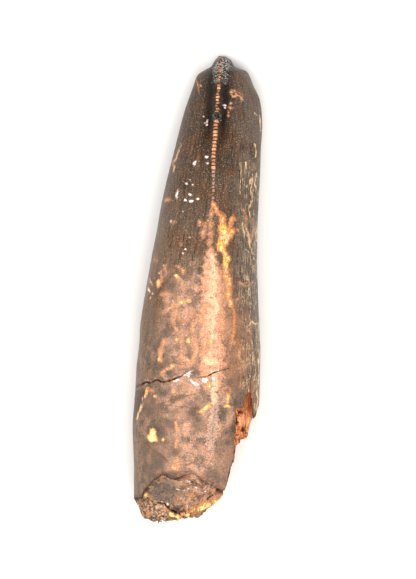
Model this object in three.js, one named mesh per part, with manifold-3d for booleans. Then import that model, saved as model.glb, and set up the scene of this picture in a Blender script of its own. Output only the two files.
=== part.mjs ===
// A fossil tooth of a small tyrannosaur, lying on its distal side.
// Millimetres. +Y runs from the broken root to the tip, +Z from the distal side up to the mesial ridge,
// and the origin is under the middle of the tooth, on the surface it lies on.
import * as THREE from "three";
import { mergeVertices } from "three/addons/utils/BufferGeometryUtils.js";
import { ImprovedNoise } from "three/addons/math/ImprovedNoise.js";
import Module from "manifold-3d";

const wasm = await Module();
wasm.setup();

// Overall form
const TIP_Y = 23.4;
const ROOT_END_Y = -26; // the unbroken body runs on to here, and the break cuts it shorter
const CREST_Y = -4; // where the mesial side stands highest
const CREST_HEIGHT = 14.9;
const ROOT_FALL = 0.0055; // how fast the mesial side sinks behind the crest, per millimetre squared
const APEX_HEIGHT = 1.1;
const APEX_ROUNDING = 0.4; // how far the underside of the very tip lifts
const APEX_BLUNTNESS = 0.55; // the smaller it is, the blunter the tip in side view
const REST_END_Y = -8; // the distal side lies flat from the break to here
const REST_SINK = 0.45; // how much of the root is worn away into the flat spot
const TIP_SINK = 0.08;
const DISTAL_HOLLOW = 2.4; // how deep the distal side curves in between the flat spot and the tip
const HOLLOW_SKEW = 1.25; // moves the deepest place towards the tip

// Left and right edges and the mesial ridge, each as [y, x] places seen from above
const LEFT_EDGE = [
  [-26, -6.4], [-18.5, -6.55], [-13.5, -6.6], [-7, -6.15], [0, -5.2], [8, -3.8], [14, -2.35],
  [18, -1.2], [20.4, -0.4], [21.3, -0.15], [21.8, 0.5], [22.2, 1.05], [22.8, 1.65], [23.4, 2.3],
];
const RIGHT_EDGE = [
  [-26, 6.2], [-12, 6.25], [-7, 6.35], [0, 6.1], [6, 6.15], [12, 6.42], [16.5, 6.6], [19, 6.3],
  [20.6, 5.65], [21.6, 5.25], [22, 4.6], [22.3, 4.15], [22.8, 3.6], [23.4, 2.7],
];
const RIDGE_LINE = [
  [-26, -0.7], [-10, 0], [0, 0.6], [8.5, 1.55], [13, 1.65], [17, 1.95], [20, 2.12], [23.4, 2.45],
];

// Section shape: the power on sine and cosine, under 1 for boxy and over 1 for wedge-shaped
const ROOT_POWER = 0.88;
const CROWN_MESIAL_POWER = 1.05;
const CROWN_DISTAL_POWER = 1.25;
const CROWN_BASE_Y = -4;
const CROWN_FULL_Y = 10;
const GROOVE_DEPTH = 0.14; // shallow grooves beside the mesial ridge
const GROOVE_OFFSET = 0.85;
const GROOVE_WIDTH = 0.4;
const RELIEF = 0.09; // gentle swell of the surface

// Carinae: the two saw-edged ridges
const BLADE_THICKNESS = 0.44;
const BLADE_ROOT = 0.7; // how deep a blade is set into the body
const DENTICLE_PITCH = 0.46;
const DENTICLE_HEIGHT = 0.2;
const BLADE_HEIGHT = 0.2;
const MESIAL_BLADE = { from: 8.2, worn: 11.6, to: 22.95 };
const DISTAL_BLADE = { from: -2, worn: 1, to: 21.6 };

// Break at the root, as [x, y] places: the edge of the outer surface, and how far the rough face reaches
const SURFACE_EDGE = [
  [-6.7, -21.8], [-6.15, -21.1], [-5.55, -19.9], [-4.55, -19.2], [-3.65, -18.7], [-2.45, -19.15],
  [-1.95, -18.9], [-0.15, -18.5], [0.55, -19.2], [1.85, -19.7], [2.45, -20.2], [2.9, -19.8],
  [3.15, -18.5], [3.65, -17], [3.8, -15.9],
];
const ROUGH_REACH = [
  [-6.7, -20.4], [-6.1, -21.4], [-5.5, -22.5], [-4.4, -23.45], [-3.7, -23.05], [-0.55, -22.8],
  [0.75, -22.2], [1.65, -21.6], [2.35, -21], [2.85, -20.1], [3.15, -18.6], [3.65, -17.1], [3.8, -15.9],
];
const STEP_X = 3.8; // right of this a slab of the root is lost
const STEP_EDGE = [
  [3.8, -12.05], [4.85, -11.9], [5, -11.1], [5.35, -10.4], [5.62, -10.2], [5.74, -12.3], [6, -12.5],
  [6.9, -12.4],
];
const STEP_REACH = [
  [3.8, -15.75], [4.38, -15.35], [5.2, -14.6], [5.4, -14], [5.7, -12.9], [6, -12.5], [6.9, -12.3],
];
const EDGE_CLIFF = 0.45; // height of the small cliff under the surface edge
const BEVEL_DROP = 5.2; // how far the rough face falls from the cliff to its lowest reach
const STEP_CLIFF = 1.5;
const STEP_DROP = 1.9;
const UNDERCUT_HEIGHT = 5; // below this the break leans back under the root
const UNDERCUT_SLOPE = 0.25;
const BREAK_ROUGHNESS = 0.5;

// Crack round the root, as [degrees from the mesial ridge, y, half width, depth]
const CRACK = [
  [-112, -10.1, 0.05, 0.1], [-88, -9.8, 0.2, 0.3], [-62, -9.6, 0.2, 0.32], [-45, -9.15, 0.18, 0.32],
  [-36, -9.35, 0.17, 0.32], [-27, -9.05, 0.15, 0.3], [-19, -8.9, 0.12, 0.25], [-4, -9.15, 0.1, 0.2],
  [10, -8.75, 0.1, 0.2], [21, -8.35, 0.09, 0.18], [33, -8.02, 0.04, 0.08],
];

// Mineral crumbs stuck to the tooth, as [degrees from the mesial ridge, y, across, along, height]
const CRUMBS = [
  [-47, -14.5, 0.42, 0.68, 0.16],
  [-3, -9.4, 0.5, 0.32, 0.15],
  [7, -8.95, 0.3, 0.3, 0.14],
  [6.5, -11.8, 0.5, 0.2, 0.12],
  [0, 17.1, 0.4, 0.5, 0.45],
];

const { clamp, degToRad, lerp, smoothstep } = THREE.MathUtils;
const noise = new ImprovedNoise();

// A smooth curve through a list of places, as a function of their first number.
function through(places) {
  const positions = places.map((place) => place[0]);
  const values = places.map((place) => place[1]);
  const curve = new THREE.CubicInterpolant(positions, values, 1, [0]);
  return (position) => curve.evaluate(position)[0];
}

const leftEdge = through(LEFT_EDGE);
const rightEdge = through(RIGHT_EDGE);
const ridgeLine = through(RIDGE_LINE);
const surfaceEdge = through(SURFACE_EDGE);
const roughReach = through(ROUGH_REACH);
const stepEdge = through(STEP_EDGE);
const stepReach = through(STEP_REACH);

// Height of the mesial side: a long arch that turns down steeply at the tip.
function mesialHeight(y) {
  if (y < CREST_Y) return CREST_HEIGHT - ROOT_FALL * (y - CREST_Y) ** 2;
  const along = Math.min(1, (y - CREST_Y) / (TIP_Y - CREST_Y));
  return APEX_HEIGHT + (CREST_HEIGHT - APEX_HEIGHT) * (1 - along ** 2) ** APEX_BLUNTNESS;
}

// Height of the distal side: level under the root, then hollow, and down again at the tip.
function distalHeight(y) {
  const along = clamp((y - REST_END_Y) / (TIP_Y - 0.6 - REST_END_Y), 0, 1);
  const sink = lerp(REST_SINK, TIP_SINK, along);
  const rounding = APEX_ROUNDING * smoothstep(y, TIP_Y - 0.8, TIP_Y);
  return DISTAL_HOLLOW * Math.sin(Math.PI * along ** HOLLOW_SKEW) - sink + rounding;
}

// The point of the unbroken surface at y and at an angle from the mesial ridge, positive to the right.
function surfacePoint(y, angle) {
  const crown = smoothstep(y, CROWN_BASE_Y, CROWN_FULL_Y);
  const top = mesialHeight(y);
  const bottom = distalHeight(y);
  const middle = (top + bottom) / 2;
  const ridge = ridgeLine(y);
  const across = Math.sin(angle);
  const up = Math.cos(angle);
  const sidePower = lerp(ROOT_POWER, 1, crown);
  const heightPower = lerp(ROOT_POWER, up > 0 ? CROWN_MESIAL_POWER : CROWN_DISTAL_POWER, crown);
  const halfWidth = across > 0 ? rightEdge(y) - ridge : ridge - leftEdge(y);
  const offset = Math.sign(across) * halfWidth * Math.abs(across) ** sidePower;
  let z = middle + Math.sign(up) * (top - middle) * Math.abs(up) ** heightPower;
  if (up > 0) {
    const beside = (Math.abs(offset) - GROOVE_OFFSET) / GROOVE_WIDTH;
    z -= GROOVE_DEPTH * smoothstep(y, 8, 14) * Math.exp(-(beside ** 2));
  }
  return new THREE.Vector3(ridge + offset, y, z);
}

// The outward direction of the surface there, from its slopes along and round the tooth.
function surfaceNormal(y, angle) {
  const step = 0.02;
  const along = surfacePoint(y + step, angle).sub(surfacePoint(y - step, angle));
  const round = surfacePoint(y, angle + step).sub(surfacePoint(y, angle - step));
  return along.cross(round).negate().normalize();
}

// A closed solid from positions and triangles.
function solidOf(positions, triangles) {
  const geometry = new THREE.BufferGeometry();
  geometry.setAttribute("position", new THREE.Float32BufferAttribute(positions, 3));
  geometry.setIndex(triangles);
  return solidOfGeometry(geometry);
}

// A closed solid from a three.js geometry.
function solidOfGeometry(geometry) {
  const bare = geometry.clone();
  bare.deleteAttribute("normal");
  bare.deleteAttribute("uv");
  const merged = mergeVertices(bare, 1e-4);
  const mesh = new wasm.Mesh({
    numProp: 3,
    vertProperties: new Float32Array(merged.attributes.position.array),
    triVerts: new Uint32Array(merged.index.array),
  });
  return new wasm.Manifold(mesh);
}

// Rings of points joined into a tube that is closed at both ends by a fan.
function tubeOf(rings) {
  const count = rings[0].length;
  const positions = rings.flat().flatMap((point) => [point.x, point.y, point.z]);
  const triangles = [];
  for (let ring = 0; ring + 1 < rings.length; ring++) {
    for (let i = 0; i < count; i++) {
      const a = ring * count + i;
      const b = ring * count + ((i + 1) % count);
      triangles.push(a, b, b + count, a, b + count, a + count);
    }
  }
  const last = (rings.length - 1) * count;
  for (let i = 1; i + 1 < count; i++) {
    triangles.push(0, i + 1, i);
    triangles.push(last, last + i, last + i + 1);
  }
  return solidOf(positions, triangles);
}

// The unbroken tooth: rings of surface points, closer together where the tip turns down.
function unbrokenBody() {
  const stations = [];
  for (let y = ROOT_END_Y; y < 16; y += 1.05) stations.push(y);
  for (let i = 0; i <= 15; i++) stations.push(lerp(16.3, TIP_Y, 1 - (1 - i / 15) ** 1.7));
  const angles = [];
  const quarter = [0, 0.06, 0.16, 0.28, 0.43, 0.6, 0.78, 0.96, 1.14, 1.33];
  for (const angle of quarter) angles.push(angle);
  for (const angle of [...quarter].reverse()) angles.push(Math.PI - angle);
  for (const angle of quarter.slice(1)) angles.push(Math.PI + angle);
  for (const angle of [...quarter].reverse().slice(0, -1)) angles.push(2 * Math.PI - angle);
  const rings = stations.map((y) => angles.map((angle) => {
    const point = surfacePoint(y, angle);
    const normal = surfaceNormal(Math.min(y, TIP_Y - 0.1), angle);
    const fade = 1 - smoothstep(y, 21, 22.5);
    const swell = noise.noise(point.x * 0.35, point.y * 0.3, point.z * 0.35)
      + 0.5 * noise.noise(point.x * 0.9, point.y * 0.35 + 7, point.z * 0.9);
    point.addScaledVector(normal, RELIEF * fade * swell);
    point.z = Math.max(point.z, 0);
    return point;
  }));
  return tubeOf(rings);
}

// A carina as a comb: an outline along the ridge with one tooth for each denticle, given thickness.
function carina(blade, heightAt, side) {
  const outline = new THREE.Shape();
  const crest = [];
  let y = blade.from;
  while (y < blade.to) {
    const slope = (heightAt(y + 0.01) - heightAt(y - 0.01)) / 0.02;
    const stretch = Math.hypot(1, slope);
    const wear = smoothstep(y, blade.from, blade.worn);
    const rise = BLADE_HEIGHT * (0.35 + 0.65 * wear);
    const tooth = DENTICLE_HEIGHT * wear;
    const places = [[0, rise], [0.22, rise + tooth], [0.72, rise + tooth]];
    for (const [share, height] of places) {
      const at = y + (share * DENTICLE_PITCH) / stretch;
      const lean = (side * height) / stretch;
      crest.push([at - slope * lean, Math.max(0, heightAt(at) + lean)]);
    }
    y += DENTICLE_PITCH / stretch;
  }
  const [firstY] = crest[0];
  const [lastY] = crest[crest.length - 1];
  outline.moveTo(firstY, heightAt(firstY) - side * BLADE_ROOT);
  for (const [at, height] of crest) outline.lineTo(at, height);
  const rootSteps = 12;
  for (let i = 0; i <= rootSteps; i++) {
    const at = lerp(lastY - 0.35, firstY, i / rootSteps);
    outline.lineTo(at, heightAt(at) - side * BLADE_ROOT);
  }
  const geometry = new THREE.ExtrudeGeometry(outline, {
    depth: BLADE_THICKNESS, bevelEnabled: false, steps: 1,
  });
  const places = geometry.attributes.position;
  for (let i = 0; i < places.count; i++) {
    const along = places.getX(i);
    const height = places.getY(i);
    places.setXYZ(i, places.getZ(i) - BLADE_THICKNESS / 2 + ridgeLine(along), along, height);
  }
  return solidOfGeometry(geometry);
}

// How far along Y the broken end reaches at a place across the tooth.
function breakPlace(x, z) {
  const y = -16;
  const ridge = ridgeLine(y);
  const halfWidth = x > ridge ? rightEdge(y) - ridge : ridge - leftEdge(y);
  const across = Math.asin(Math.min(1, Math.abs(x - ridge) / halfWidth) ** (1 / ROOT_POWER));
  const rim = surfacePoint(y, across).z;
  const right = smoothstep(x, STEP_X - 0.05, STEP_X + 0.05);
  const bevel = smoothstep(rim - z - EDGE_CLIFF, 0, BEVEL_DROP);
  const ledge = smoothstep(rim - z - STEP_CLIFF, 0, STEP_DROP);
  const main = lerp(surfaceEdge(x), roughReach(x), bevel);
  const step = lerp(stepEdge(x), stepReach(x), ledge);
  const lean = UNDERCUT_SLOPE * Math.max(0, UNDERCUT_HEIGHT - z);
  const rough = noise.noise(x * 0.55, z * 0.55, 3) + 0.7 * noise.noise(x * 1.4, z * 1.4, 9);
  const share = lerp(bevel, 0.6 * ledge, right);
  return lerp(main, step, right) + lean + BREAK_ROUGHNESS * share * rough;
}

// Everything that the break takes away: a block whose near face is the broken surface.
function brokenAway() {
  const width = 14.4;
  const height = 17;
  const linesX = [];
  for (let x = -width / 2; x < STEP_X - 0.3; x += 0.5) linesX.push(x);
  linesX.push(STEP_X - 0.06, STEP_X + 0.06, 4.2, 4.55, 4.85, 5.05, 5.35, 5.62, 5.74, 6.3, width / 2);
  const rows = 30;
  const block = new THREE.BoxGeometry(width, height, 1, linesX.length - 1, rows, 1);
  const places = block.attributes.position;
  const farY = ROOT_END_Y - 2;
  for (let i = 0; i < places.count; i++) {
    const line = Math.round((0.5 - places.getX(i) / width) * (linesX.length - 1));
    const x = linesX[line];
    const z = places.getY(i) + height / 2 - 0.7;
    places.setXYZ(i, x, places.getZ(i) > 0 ? breakPlace(x, z) : farY, z);
  }
  return solidOfGeometry(block);
}

// The crack: a groove with a V section that follows the surface.
function crackGroove() {
  const rings = CRACK.map(([degrees, y, halfWidth, depth], i) => {
    const angle = degToRad(degrees);
    const before = CRACK[Math.max(0, i - 1)];
    const after = CRACK[Math.min(CRACK.length - 1, i + 1)];
    const run = surfacePoint(after[1], degToRad(after[0]));
    run.sub(surfacePoint(before[1], degToRad(before[0]))).normalize();
    const normal = surfaceNormal(y, angle);
    const side = new THREE.Vector3().crossVectors(normal, run).normalize();
    const middle = surfacePoint(y, angle);
    const lip = middle.clone().addScaledVector(normal, depth);
    return [
      lip.clone().addScaledVector(side, 2 * halfWidth),
      lip.clone().addScaledVector(side, -2 * halfWidth),
      middle.clone().addScaledVector(normal, -depth),
    ];
  });
  return tubeOf(rings);
}

// A mineral crumb: a small lump half sunk in the surface.
function crumb([degrees, y, across, along, height]) {
  const angle = degToRad(degrees);
  const lump = new THREE.IcosahedronGeometry(1, 1);
  lump.scale(across, along, height);
  const turn = new THREE.Quaternion();
  turn.setFromUnitVectors(new THREE.Vector3(0, 0, 1), surfaceNormal(y, angle));
  lump.applyQuaternion(turn);
  const place = surfacePoint(y, angle);
  lump.translate(place.x, place.y, place.z);
  return solidOfGeometry(lump);
}

// The whole tooth, with its middle over the origin and its lowest place on the ground.
function toothGeometry() {
  let body = unbrokenBody();
  body = body.add(carina(MESIAL_BLADE, mesialHeight, 1));
  body = body.add(carina(DISTAL_BLADE, distalHeight, -1));
  body = body.subtract(brokenAway());
  body = body.subtract(crackGroove());
  for (const place of CRUMBS) body = body.add(crumb(place));
  const mesh = body.getMesh();
  const geometry = new THREE.BufferGeometry();
  geometry.setAttribute("position", new THREE.BufferAttribute(mesh.vertProperties, 3));
  geometry.setIndex(new THREE.BufferAttribute(mesh.triVerts, 1));
  geometry.computeBoundingBox();
  const box = geometry.boundingBox;
  geometry.translate(-(box.min.x + box.max.x) / 2, -(box.min.y + box.max.y) / 2, -box.min.z);
  geometry.computeVertexNormals();
  return geometry;
}

const fossil = new THREE.MeshStandardMaterial({ color: 0x8a6a54, roughness: 0.45, metalness: 0 });
const tooth = new THREE.Mesh(toothGeometry(), fossil);
tooth.name = "tooth";

const fossilTooth = new THREE.Group();
fossilTooth.add(tooth);

export default fossilTooth;
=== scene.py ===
"""A fossil tooth of a small tyrannosaur, lying on a pale surface and seen from straight above."""
import bpy
import numpy as np
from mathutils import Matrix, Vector


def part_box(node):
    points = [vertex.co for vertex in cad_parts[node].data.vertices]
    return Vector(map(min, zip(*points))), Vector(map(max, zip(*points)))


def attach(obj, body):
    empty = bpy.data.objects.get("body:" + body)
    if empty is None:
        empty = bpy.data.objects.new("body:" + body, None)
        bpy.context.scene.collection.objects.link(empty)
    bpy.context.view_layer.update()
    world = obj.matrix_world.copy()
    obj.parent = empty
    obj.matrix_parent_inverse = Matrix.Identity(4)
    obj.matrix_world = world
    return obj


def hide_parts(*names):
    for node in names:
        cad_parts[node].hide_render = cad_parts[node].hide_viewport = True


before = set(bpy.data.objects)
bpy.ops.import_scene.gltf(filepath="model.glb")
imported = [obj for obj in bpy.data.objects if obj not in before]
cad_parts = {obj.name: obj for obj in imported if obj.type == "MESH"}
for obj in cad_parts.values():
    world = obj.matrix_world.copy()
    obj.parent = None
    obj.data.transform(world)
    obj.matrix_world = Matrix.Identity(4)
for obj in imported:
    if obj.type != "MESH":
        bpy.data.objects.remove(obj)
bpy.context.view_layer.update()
scene = bpy.context.scene

# Floor, light and camera. A pale matt board lies under one large soft box overhead, a weaker one from the
# left and an even pale room. The camera hangs far above with a long lens, so it shows almost no perspective.
BOARD_HALF = 1.5
BOARD_GAP = 0.00002  # keeps the board's face just clear of the tooth's resting spot
PHOTO_HEIGHT = 0.0579  # metres that the photograph's long side spans across the tooth
VIEW_CENTRE = (0.00105, -0.00005)
CAMERA_HEIGHT = 1.1
WIDEST_HEIGHT = 0.007  # the height at which the tooth's outline is widest
SENSOR = 36  # in millimetres, as the lens


def soft_box(name, place, aim, size, power, colour):
    """A rectangular area light at place that shines towards aim."""
    data = bpy.data.lights.new(name, "AREA")
    data.shape = "RECTANGLE"
    data.size, data.size_y = size
    data.energy = power
    data.color = colour
    lamp = bpy.data.objects.new(name, data)
    lamp.location = place
    lamp.rotation_euler = (Vector(place) - Vector(aim)).to_track_quat("Z", "Y").to_euler()
    lamp.visible_camera = False
    scene.collection.objects.link(lamp)


floor_mesh = bpy.data.meshes.new("board")
board_corners = np.array([(-1, -1, 0), (1, -1, 0), (1, 1, 0), (-1, 1, 0)]) * BOARD_HALF
floor_mesh.from_pydata(board_corners.tolist(), [], [(0, 1, 2, 3)])
floor = bpy.data.objects.new("board", floor_mesh)
floor.location.z = -BOARD_GAP
scene.collection.objects.link(floor)
board_paint = bpy.data.materials.new("board_paint")
board_paint.use_nodes = True
board = board_paint.node_tree.nodes["Principled BSDF"]
board.inputs["Base Color"].default_value = (0.9, 0.9, 0.9, 1)
board.inputs["Roughness"].default_value = 0.8
floor_mesh.materials.append(board_paint)

soft_box("overhead", (0.03, -0.07, 0.4), (0, 0, 0.008), size=(0.16, 0.26), power=1.6, colour=(1, 0.95, 0.89))
soft_box("left_fill", (-0.24, 0.02, 0.24), (0, 0, 0.005), size=(0.2, 0.25), power=0.5, colour=(1, 0.98, 0.96))
room = bpy.data.worlds.new("room")
room.use_nodes = True
room.node_tree.nodes["Background"].inputs["Color"].default_value = (1, 1, 1, 1)
room.node_tree.nodes["Background"].inputs["Strength"].default_value = 0.55
scene.world = room
scene.view_settings.view_transform = "Standard"

lens_data = bpy.data.cameras.new("camera")
lens_data.lens = SENSOR * (CAMERA_HEIGHT - WIDEST_HEIGHT) / PHOTO_HEIGHT
lens_data.sensor_width = SENSOR
camera = bpy.data.objects.new("camera", lens_data)
camera.location = (*VIEW_CENTRE, CAMERA_HEIGHT)
scene.collection.objects.link(camera)
scene.camera = camera

# The tooth. One fossil body: a recurved crown in dark brown enamel with two saw-edged ridges, and a paler
# root of dentine that is cracked across, stained by iron, and broken off rough at its end. It grew as one
# piece, turned to stone as one, and lies loose on its distal side.
MM = 0.001  # the tooth's own sizes and places below are in millimetres
TIP_Y = 23.4
CREST_Y = -4
CREST_HEIGHT = 14.9
ROOT_FALL = 0.0055  # how fast the ridge side drops from its crest towards the break, per millimetre squared
APEX_HEIGHT = 1.1
APEX_BLUNTNESS = 0.55
APEX_ROUNDING = 0.4
REST_END_Y = -8
REST_SINK = 0.45
TIP_SINK = 0.08
DISTAL_HOLLOW = 2.4
HOLLOW_SKEW = 1.25  # above 1, the hollow's deepest place lies nearer to the tip
ROOT_POWER = 0.88  # below 1 a section is fuller than an ellipse, and above 1 it is more pinched
CROWN_MESIAL_POWER = 1.05
CROWN_DISTAL_POWER = 1.25
GROOVE_DEPTH = 0.14
GROOVE_OFFSET = 0.85
GROOVE_WIDTH = 0.4
JOIN_Y = -10.2  # above this all rows are level, and below it they spread towards the ragged edge
BREAK_CENTRE = (-1.2, 7)  # where the rows of the broken face run together, as x and z
ROW_GAP = 0.15  # between rows along the curve of the ridge
DENTICLE_ROW_GAP = 0.087
CRACK_ROW_GAP = 0.09
LOWER_ROWS = 88
BREAK_ROWS = 86
PITCH = 0.39  # from one denticle to the next
BLADE_HALF = 0.24
BLADE_RISE = 0.16
DENTICLE_RISE = 0.24
LUMP_PLACE = (1.98, 17.1)
DENTICLES = 200  # more than fit along the ridge
MIDDLE_ROW = 200  # a row of the grid that runs round the crown


def ramp(value, start, end):
    """0 before start, 1 after end, and the cubic 3t^2 - 2t^3 between them."""
    t = np.clip((value - start) / (end - start), 0, 1)
    return t * t * (3 - 2 * t)


def mix(a, b, share):
    """a where share is 0 and b where it is 1."""
    return a + (b - a) * share


def through(places):
    """A smooth curve through (position, value) places: a cubic between each two of them, whose slope at each
    place is that of the line between its neighbours."""
    at, value = np.array(places, float).T
    slope = np.empty_like(value)
    slope[1:-1] = (value[2:] - value[:-2]) / (at[2:] - at[:-2])
    slope[0] = (value[1] - value[0]) / (at[1] - at[0])
    slope[-1] = (value[-1] - value[-2]) / (at[-1] - at[-2])

    def curve(position):
        position = np.clip(position, at[0], at[-1])
        i = np.clip(np.searchsorted(at, position, side="right") - 1, 0, len(at) - 2)
        gap = at[i + 1] - at[i]
        t = (position - at[i]) / gap
        start = (1 + 2 * t) * (1 - t) ** 2 * value[i] + t * (1 - t) ** 2 * gap * slope[i]
        end = t * t * (3 - 2 * t) * value[i + 1] + t * t * (t - 1) * gap * slope[i + 1]
        return start + end

    return curve


left_edge = through([
    (-26, -6.4), (-18.5, -6.55), (-13.5, -6.6), (-7, -6.15), (0, -5.2), (8, -3.8), (14, -2.35), (18, -1.2),
    (20.4, -0.4), (21.2, -0.15), (21.6, 0.15), (22, 0.8), (22.35, 1.4), (22.9, 1.75), (23.4, 2.2)])
right_edge = through([
    (-26, 6.2), (-12, 6.25), (-7, 6.35), (0, 6.1), (6, 6.15), (12, 6.42), (16.5, 6.6), (19, 6.3),
    (20.6, 5.65), (21.5, 5.25), (21.9, 4.9), (22.15, 4.2), (22.4, 3.75), (22.9, 3.45), (23.4, 2.8)])
ridge_line = through([
    (-26, -0.7), (-10, 0), (0, 0.6), (8.5, 1.55), (13, 1.65), (17, 1.95), (20, 2.12), (23.4, 2.45)])
surface_edge = through([
    (-6.7, -21), (-6.14, -21.05), (-5.65, -20.9), (-5.45, -20.3), (-5, -19.85), (-4.6, -19.35), (-3.9, -18.9),
    (-3.4, -18.65), (-2.6, -19), (-1.95, -18.85), (-0.95, -18.6), (-0.3, -18.6), (0.4, -19.1), (1.4, -19.4),
    (1.9, -19.7), (2.3, -20), (2.65, -20.2), (2.95, -19.6), (3.15, -18.5), (3.65, -17), (3.8, -15.9)])
rough_reach = through([
    (-6.7, -21.1), (-6.2, -21.6), (-5.85, -22.2), (-5.43, -22.7), (-5.05, -22.95), (-4.6, -23.15),
    (-4, -23.05), (-3.7, -22.7), (-2.4, -22.7), (-1, -22.65), (-0.2, -22.35), (0.45, -22.05),
    (1.33, -21.45), (1.88, -21), (2.43, -20.25), (2.65, -19.55), (2.98, -18.45), (3.15, -17.8),
    (3.48, -17.1), (3.6, -16.4), (3.8, -15.9)])
STEP_X = 3.8
step_edge = through([
    (3.8, -12), (4.68, -11.98), (4.8, -11.5), (4.9, -10.95), (5.12, -10.65), (5.3, -10.5), (5.45, -10.45),
    (5.53, -10.9), (5.6, -12), (5.64, -13), (5.75, -12.97), (5.93, -12.7), (6.06, -12.3), (6.2, -11.9),
    (6.9, -11.6)])
step_reach = through([
    (3.8, -15.5), (4.21, -15.2), (4.65, -14.85), (5.15, -14.4), (5.27, -13.9), (5.4, -13.45), (5.5, -13.2),
    (5.7, -13), (5.93, -12.72), (6.06, -12.32), (6.2, -11.92), (6.9, -11.6)])


def mesial_height(y):
    """Height of the ridge side: a shallow arch at the root, then one that turns down steeply at the tip."""
    along = np.clip((y - CREST_Y) / (TIP_Y - CREST_Y), 0, 1)
    crown = APEX_HEIGHT + (CREST_HEIGHT - APEX_HEIGHT) * (1 - along**2) ** APEX_BLUNTNESS
    return np.where(y < CREST_Y, CREST_HEIGHT - ROOT_FALL * (y - CREST_Y) ** 2, crown)


def distal_height(y):
    """Height of the resting side: level under the root, then a hollow arch, and down again at the tip."""
    along = np.clip((y - REST_END_Y) / (TIP_Y - 0.6 - REST_END_Y), 0, 1)
    sink = mix(REST_SINK, TIP_SINK, along)
    rounding = APEX_ROUNDING * ramp(y, TIP_Y - 0.8, TIP_Y)
    return DISTAL_HOLLOW * np.sin(np.pi * along**HOLLOW_SKEW) - sink + rounding


def section(y, angle):
    """The unbroken surface's x and z at y and at an angle from the mesial ridge: powers of the angle's sine
    and cosine, stretched to the left or right edge and to the ridge or resting side."""
    crown = ramp(y, -4, 10)
    top, bottom = mesial_height(y), distal_height(y)
    middle = (top + bottom) / 2
    ridge = ridge_line(y)
    across, up = np.sin(angle), np.cos(angle)
    side_power = mix(ROOT_POWER, 1, crown)
    height_power = mix(ROOT_POWER, np.where(up > 0, CROWN_MESIAL_POWER, CROWN_DISTAL_POWER), crown)
    half_width = np.where(across > 0, right_edge(y) - ridge, ridge - left_edge(y))
    offset = np.sign(across) * half_width * np.abs(across) ** side_power
    z = middle + np.sign(up) * (top - middle) * np.abs(up) ** height_power
    beside = (np.abs(offset) - GROOVE_OFFSET) / GROOVE_WIDTH
    z = z - (up > 0) * GROOVE_DEPTH * ramp(y, 8, 14) * np.exp(-(beside**2))
    return ridge + offset, z


def noise(place, size, seed):
    """Smooth random numbers from -1 to 1: random values on a cubic lattice of the given size, blended between
    the eight lattice points round each place."""
    table = np.random.default_rng(seed).uniform(-1, 1, (32, 32, 32))
    cell = place / np.array(size, float)
    base = np.floor(cell).astype(int)
    part = cell - base
    part = part * part * (3 - 2 * part)
    total = 0
    for corner in np.ndindex(2, 2, 2):
        index = (base + corner) % 32
        weight = np.prod(np.where(corner, part, 1 - part), axis=-1)
        total = total + weight * table[index[..., 0], index[..., 1], index[..., 2]]
    return total


def facets(x, z, count, tilt, step, seed):
    """Flat facets with ledges between them, as broken stone has: each place takes the plane of the nearest of
    some scattered points, which has a height and a slope of its own."""
    random = np.random.default_rng(seed)
    points = random.uniform((-7, -1), (7, 16), (count, 2))
    slopes = random.uniform(-tilt, tilt, (count, 2))
    heights = random.uniform(-step, step, count)
    nearest = ((x[..., None] - points[:, 0]) ** 2 + (z[..., None] - points[:, 1]) ** 2).argmin(-1)
    lean = slopes[nearest, 0] * (x - points[nearest, 0]) + slopes[nearest, 1] * (z - points[nearest, 1])
    return heights[nearest] + lean


def break_place(x, z):
    """How far along Y the broken end reaches at a place across the tooth: a small cliff under the edge of the
    surface, a rough bevel down to its lowest reach, and a step where the slab on the right is lost."""
    y = np.full_like(x, -16)
    ridge = ridge_line(y)
    half_width = np.where(x > ridge, right_edge(y) - ridge, ridge - left_edge(y))
    share = np.clip(np.abs(x - ridge) / half_width, 0, 1)
    rim = section(y, np.arcsin(share ** (1 / ROOT_POWER)))[1]
    right = ramp(x, STEP_X - 0.05, STEP_X + 0.05)
    bevel = ramp(rim - z - 0.45, 0, 5.2)
    ledge = ramp(rim - z - 0.35, 0, 1.3)
    main = mix(surface_edge(x), rough_reach(x), bevel)
    step = mix(step_edge(x), step_reach(x), ledge)
    lean = 0.25 * np.clip(5 - z, 0, None)
    rough = facets(x, z, count=150, tilt=0.5, step=0.22, seed=11)
    rough = rough + 0.5 * facets(x, z, count=500, tilt=0.7, step=0.16, seed=12)
    level_part = 1 - ramp(x, 5.4, 5.6)
    return mix(main, step, right) + lean + mix(bevel, 0.5 * ledge * level_part, right) * rough


def column_angles():
    """Angles round the tooth from the mesial ridge: close at the ridge, in even steps of width across the
    face seen from above, then in even angles round the side, and close again at the distal ridge."""
    near = np.linspace(0, 0.12, 11)
    face = np.arcsin(np.linspace(0.12, 0.89, 44))[1:]
    side = np.linspace(face[-1], 1.87, 19)[1:]
    under = np.linspace(1.87, 3, 13)[1:]
    last = np.linspace(3.0, np.pi, 5)[1:]
    right = np.concatenate([near, face, side, under, last])
    left = 2 * np.pi - right[1:-1][::-1]
    return np.concatenate([right, left])


def row_places():
    """Places along Y from the tip to the join: spaced along the curve of the mesial ridge, closest where the
    denticles are and near the crack."""
    y = np.linspace(TIP_Y, JOIN_Y, 6000)
    height = mesial_height(y)
    run = np.hypot(np.gradient(y), np.gradient(height))
    gap = mix(ROW_GAP, DENTICLE_ROW_GAP, ramp(y, 6, 9)) - (ROW_GAP - CRACK_ROW_GAP) * ramp(y, -7, -8.5)
    count = np.cumsum(run / gap)
    return np.interp(np.arange(0, count[-1] - count[0] - 0.5), count - count[0], y)


angles = column_angles()
upper_rows = row_places()

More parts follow.
